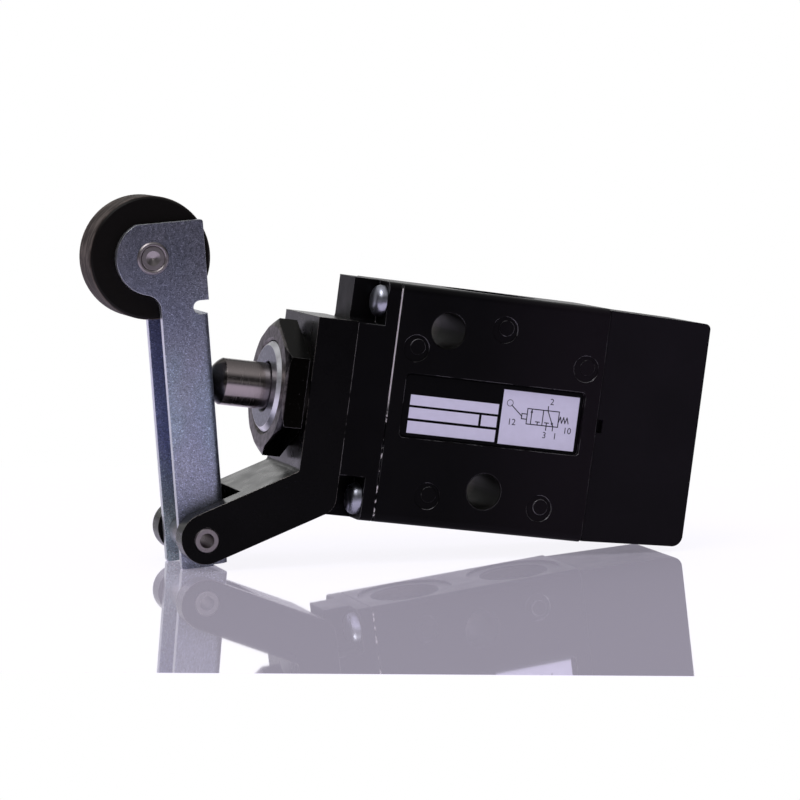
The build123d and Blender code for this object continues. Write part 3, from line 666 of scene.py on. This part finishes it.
def label_numbers(ink):
    """Plain port numbers round the symbol."""
    marks = [("2", 32.9, 3.1), ("3", 32.1, -3.5), ("1", 34.3, -3.5), ("12", 24.6, -1.6), ("10", 36.3, -2.2)]
    for text, u, v in marks:
        curve = bpy.data.curves.new("number", "FONT")
        curve.body = text
        curve.size = NUMBER_SIZE * MM
        curve.resolution_u = 3
        source = bpy.data.objects.new("number", curve)
        bpy.context.collection.objects.link(source)
        view = bpy.context.evaluated_depsgraph_get()
        mesh = bpy.data.meshes.new_from_object(source.evaluated_get(view))
        bpy.data.objects.remove(source)
        turn = Matrix.Translation(on_label(u, v, 2 * INK_LIFT)) @ Matrix.Rotation(math.pi / 2, 4, "X")
        mesh.transform(turn)
        mesh.materials.clear()
        mesh.materials.append(ink)
        obj = bpy.data.objects.new("label_number_" + text, mesh)
        bpy.context.collection.objects.link(obj)
        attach(obj, "housing")


def label_print():
    """Pale fields of the label, left blank, and the circuit symbol."""
    paper = printed("label_paper", (0.60, 0.57, 0.74))
    ink = printed("label_ink", (0.012, 0.010, 0.022))

    def fields(bm):
        for u0, u1, v0, v1 in LABEL_FIELDS:
            patch(bm, [(u0, v0), (u1, v0), (u1, v1), (u0, v1)], INK_LIFT)

    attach(piece("label_fields", fields, paper), "housing")
    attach(piece("label_symbol", valve_symbol, ink), "housing")
    label_numbers(ink)


def screw_heads(material):
    """Four domed screw heads with cross recesses."""
    top = SCREW_HEAD_HEIGHT
    edge = SCREW_HEAD_R
    profile = [(0.0, edge - 0.12), (0.1, edge), (0.75, edge)]
    profile += [
        (0.75 + (top - 0.8) * math.sin(turn), edge * (0.36 + 0.64 * math.cos(turn)))
        for turn in (math.radians(angle) for angle in range(10, 81, 10))
    ]
    profile += [(top - 0.02, edge * 0.36), (top, 0.0)]

    def cross(bm):
        """Tapered cross that is cut out of a head."""
        for turn in (0, math.pi / 2):
            corners = []
            for height, reach, half in CROSS_SECTIONS:
                for u, v in ((-reach, -half), (reach, -half), (reach, half), (-reach, half)):
                    y = u * math.cos(turn) - v * math.sin(turn)
                    z = u * math.sin(turn) + v * math.cos(turn)
                    corners.append(bm.verts.new(Vector((-height, y, z)) * MM))
            bmesh.ops.convex_hull(bm, input=corners)

    def head(bm):
        rings = []
        for height, radius in profile:
            count = SCREW_SIDES if radius else 1
            rings.append([
                bm.verts.new(Vector((
                    -height,
                    radius * math.cos(2 * math.pi * n / SCREW_SIDES),
                    radius * math.sin(2 * math.pi * n / SCREW_SIDES),
                )) * MM)
                for n in range(count)
            ])
        bm.faces.new(rings[0])
        for lower, upper in zip(rings, rings[1:]):
            for n in range(SCREW_SIDES):
                follow = (n + 1) % SCREW_SIDES
                if len(upper) == 1:
                    bm.faces.new([lower[follow], lower[n], upper[0]])
                else:
                    bm.faces.new([lower[follow], lower[n], upper[n], upper[follow]])
        bmesh.ops.recalc_face_normals(bm, faces=bm.faces)

    master = piece("screw_head", head, material, 32)
    cutter = piece("screw_cross", cross, material)
    cut = master.modifiers.new("cross", "BOOLEAN")
    cut.object = cutter
    cut.operation = "DIFFERENCE"
    cut.solver = "EXACT"
    view = bpy.context.evaluated_depsgraph_get()
    mesh = bpy.data.meshes.new_from_object(master.evaluated_get(view))
    bpy.data.objects.remove(master)
    bpy.data.objects.remove(cutter)

    def four(bm):
        places = [(y, z) for y in (-SCREW_Y, SCREW_Y) for z in (-SCREW_Z, SCREW_Z)]
        for (y, z), degrees in zip(places, SCREW_TURNS):
            turn = Matrix.Rotation(math.radians(degrees), 4, "X")
            copy = mesh.copy()
            copy.transform(Matrix.Translation(at(SCREW_FACE, y, z)) @ turn)
            bm.from_mesh(copy)

    heads = piece("cover_screw_heads", four, material, 32)
    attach(heads, "housing")
    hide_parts("head_screws")


def return_coil(material):
    """Compression spring on the spool axis towards the cap."""
    rings = int(COIL_TURNS * COIL_STEPS)
    rise = (COIL_X1 - COIL_X0) / rings

    def coil(bm):
        rows = []
        for n in range(rings + 1):
            turn = 2 * math.pi * n / COIL_STEPS
            out = Vector((0.0, math.cos(turn), math.sin(turn)))
            middle = at(COIL_X0 + rise * n, 0.0, 0.0) + out * COIL_R * MM
            rows.append([
                bm.verts.new(
                    middle
                    + Vector((math.cos(angle), 0.0, 0.0)) * WIRE_R * MM
                    + out * math.sin(angle) * WIRE_R * MM
                )
                for angle in (2 * math.pi * side / WIRE_SIDES for side in range(WIRE_SIDES))
            ])
        for first, second in zip(rows, rows[1:]):
            for side in range(WIRE_SIDES):
                follow = (side + 1) % WIRE_SIDES
                bm.faces.new([first[side], first[follow], second[follow], second[side]])
        bm.faces.new(rows[0][::-1])
        bm.faces.new(rows[-1])
        bmesh.ops.recalc_face_normals(bm, faces=bm.faces)

    spring = piece("return_coil", coil, material, 60)
    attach(spring, "housing")
    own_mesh(spring)
    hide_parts("return_spring")


# ------------------------------------------------------------ floor and light
def tilt():
    return Matrix.Rotation(math.radians(-STAND_TILT), 4, "Y")


def floor_height():
    """Lowest reach of the valve along the floor's normal."""
    up = tilt() @ Vector((0.0, 0.0, 1.0))
    return min(
        up.dot(vertex.co)
        for obj in NODES.values()
        for vertex in obj.data.vertices
    )


def view_ahead():
    """Level direction in which the camera looks."""
    azimuth = math.radians(CAMERA_AZIMUTH)
    return Vector((math.sin(azimuth), math.cos(azimuth), 0.0))


def floor_white():
    """White that fades to plain white far off, with a gloss sheet under the valve."""
    g = Graph("floor_white")
    place = g.node("ShaderNodeTexCoord").outputs["Object"]
    ahead_level = view_ahead()
    ahead = tilt().inverted().to_3x3() @ ahead_level
    along = g.dot(place, tuple(ahead))
    sheet = g.maths(
        "MULTIPLY",
        g.step(along, SHEET_FRONT, SHEET_FRONT + 0.0004),
        g.step(along, SHEET_BACK, SHEET_BACK - 0.02),
    )
    matt = g.node("ShaderNodeBsdfDiffuse")
    matt.inputs["Color"].default_value = (*FLOOR_COLOUR, 1.0)
    glow = g.node("ShaderNodeEmission")
    glow.inputs["Color"].default_value = (*FLOOR_GLOW, 1.0)
    glow.inputs["Strength"].default_value = FLOOR_GLOW_LEVEL
    path = g.node("ShaderNodeLightPath").outputs
    base = g.node("ShaderNodeMixShader")
    g.put(base.inputs[0], g.maths("MULTIPLY", path["Is Camera Ray"], 0.5))
    g.put(base.inputs[1], matt.outputs[0])
    g.put(base.inputs[2], glow.outputs[0])
    gloss = g.node("ShaderNodeBsdfGlossy")
    gloss.inputs["Roughness"].default_value = 0.03
    gloss.inputs["Color"].default_value = (1.0, 1.0, 1.0, 1.0)
    facing = g.node("ShaderNodeLayerWeight").outputs["Facing"]
    shine = g.maths("MULTIPLY", g.step(facing, 0.75, 0.825), SHEET_GLOSS)
    near = g.node("ShaderNodeMixShader")
    g.put(near.inputs[0], g.maths("MULTIPLY", shine, sheet))
    g.put(near.inputs[1], base.outputs[0])
    g.put(near.inputs[2], gloss.outputs[0])
    white = g.node("ShaderNodeEmission")
    white.inputs["Strength"].default_value = 1.0
    across = tilt().inverted().to_3x3() @ Vector((ahead_level.y, -ahead_level.x, 0.0))
    beside = g.step(g.maths("ABSOLUTE", g.dot(place, tuple(across))), 0.10, 0.16)
    behind = g.step(along, 0.09, 0.15)
    before = g.step(along, SHEET_FRONT, SHEET_FRONT - 0.0004)
    outside = g.maths("MAXIMUM", g.maths("MAXIMUM", beside, behind), before)
    far = g.maths("MULTIPLY", outside, path["Is Camera Ray"])
    dark = g.node("ShaderNodeBsdfDiffuse")
    dark.inputs["Color"].default_value = (0.06, 0.06, 0.07, 1.0)
    front = g.step(along, *FLOOR_LIT)
    lit = g.node("ShaderNodeMixShader")
    g.put(lit.inputs[0], g.maths("MULTIPLY", front, path["Is Glossy Ray"]))
    g.put(lit.inputs[1], near.outputs[0])
    g.put(lit.inputs[2], dark.outputs[0])
    whole = g.node("ShaderNodeMixShader")
    g.put(whole.inputs[0], far)
    g.put(whole.inputs[1], lit.outputs[0])
    g.put(whole.inputs[2], white.outputs[0])
    below = g.node("ShaderNodeMixShader")
    g.put(below.inputs[0], g.node("ShaderNodeNewGeometry").outputs["Backfacing"])
    g.put(below.inputs[1], whole.outputs[0])
    g.put(below.inputs[2], g.node("ShaderNodeBsdfTransparent").outputs[0])
    g.put(g.output.inputs["Surface"], below.outputs[0])
    return g.owner


def floor():
    """Level sheet that the tilted valve stands on."""
    mesh = bpy.data.meshes.new("floor")
    half = FLOOR_REACH / 2
    corners = [(-half, -half, 0), (half, -half, 0), (half, half, 0), (-half, half, 0)]
    mesh.from_pydata(corners, [], [(0, 1, 2, 3)])
    mesh.materials.append(floor_white())
    obj = bpy.data.objects.new("floor", mesh)
    up = tilt() @ Vector((0.0, 0.0, 1.0))
    obj.matrix_world = Matrix.Translation(up * floor_height()) @ tilt()
    bpy.context.collection.objects.link(obj)


def lamp(name, place, size, power):
    """Soft box aimed at the valve."""
    data = bpy.data.lights.new(name, "AREA")
    data.shape = "RECTANGLE"
    data.size = size[0]
    data.size_y = size[1]
    data.energy = power
    obj = bpy.data.objects.new(name, data)
    turn = (-Vector(place)).to_track_quat("-Z", "Y").to_matrix().to_4x4()
    obj.matrix_world = Matrix.Translation(Vector(place)) @ turn
    bpy.context.collection.objects.link(obj)


def world():
    """White backdrop; what shines reflects a dark studio with pale screens."""
    g = Graph("studio", world=True)
    toward = g.node("ShaderNodeTexCoord").outputs["Generated"]
    up = tuple(tilt().to_3x3() @ Vector((0.0, 0.0, 1.0)))
    height = g.dot(toward, up)
    band = g.maths("MULTIPLY", g.step(height, 0.035, 0.06), g.step(height, 0.50, 0.36))
    backdrop = g.maths("MULTIPLY", band, g.step(g.dot(toward, tuple(view_ahead())), 0.82, 0.90))
    left = g.step(g.dot(toward, (-0.62, 0.78, 0.0)), 0.62, 0.9)
    above = g.step(height, 0.45, 0.8)
    ground = g.step(height, 0.0, -0.1)
    level = g.maths("ADD", 0.024, g.maths("MULTIPLY", left, 0.21))
    level = g.maths("ADD", level, g.maths("MULTIPLY", above, 0.48))
    level = g.maths("ADD", level, g.maths("MULTIPLY", ground, 0.16))
    skirting = g.maths("MULTIPLY", g.step(height, 0.035, 0.06), g.step(height, 0.24, 0.18))
    level = g.maths("MAXIMUM", level, g.maths("MULTIPLY", skirting, 0.24))
    level = g.maths("MAXIMUM", level, g.maths("MULTIPLY", backdrop, 1.0))
    path = g.node("ShaderNodeLightPath")
    shown = g.node("ShaderNodeMix", data_type="FLOAT")
    g.put(shown.inputs[0], path.outputs["Is Glossy Ray"])
    shown.inputs[2].default_value = 0.70
    g.put(shown.inputs[3], level)
    seen = g.node("ShaderNodeMix", data_type="FLOAT")
    g.put(seen.inputs[0], path.outputs["Is Camera Ray"])
    g.put(seen.inputs[2], shown.outputs[0])
    seen.inputs[3].default_value = 1.0
    shader = g.node("ShaderNodeBackground")
    shader.inputs["Color"].default_value = (1.0, 1.0, 1.0, 1.0)
    g.put(shader.inputs["Strength"], seen.outputs[0])
    g.put(g.output.inputs["Surface"], shader.outputs[0])
    bpy.context.scene.world = g.owner


bpy.context.scene.view_settings.view_transform = "Standard"
camera()
world()
floor()
lamp("key", (-0.8, -0.45, 1.30), (0.9, 0.9), 8.0)
slots = materials()
dress(slots)
label_print()
screw_heads(slots["screw_zinc"])
return_coil(slots["spring_steel"])
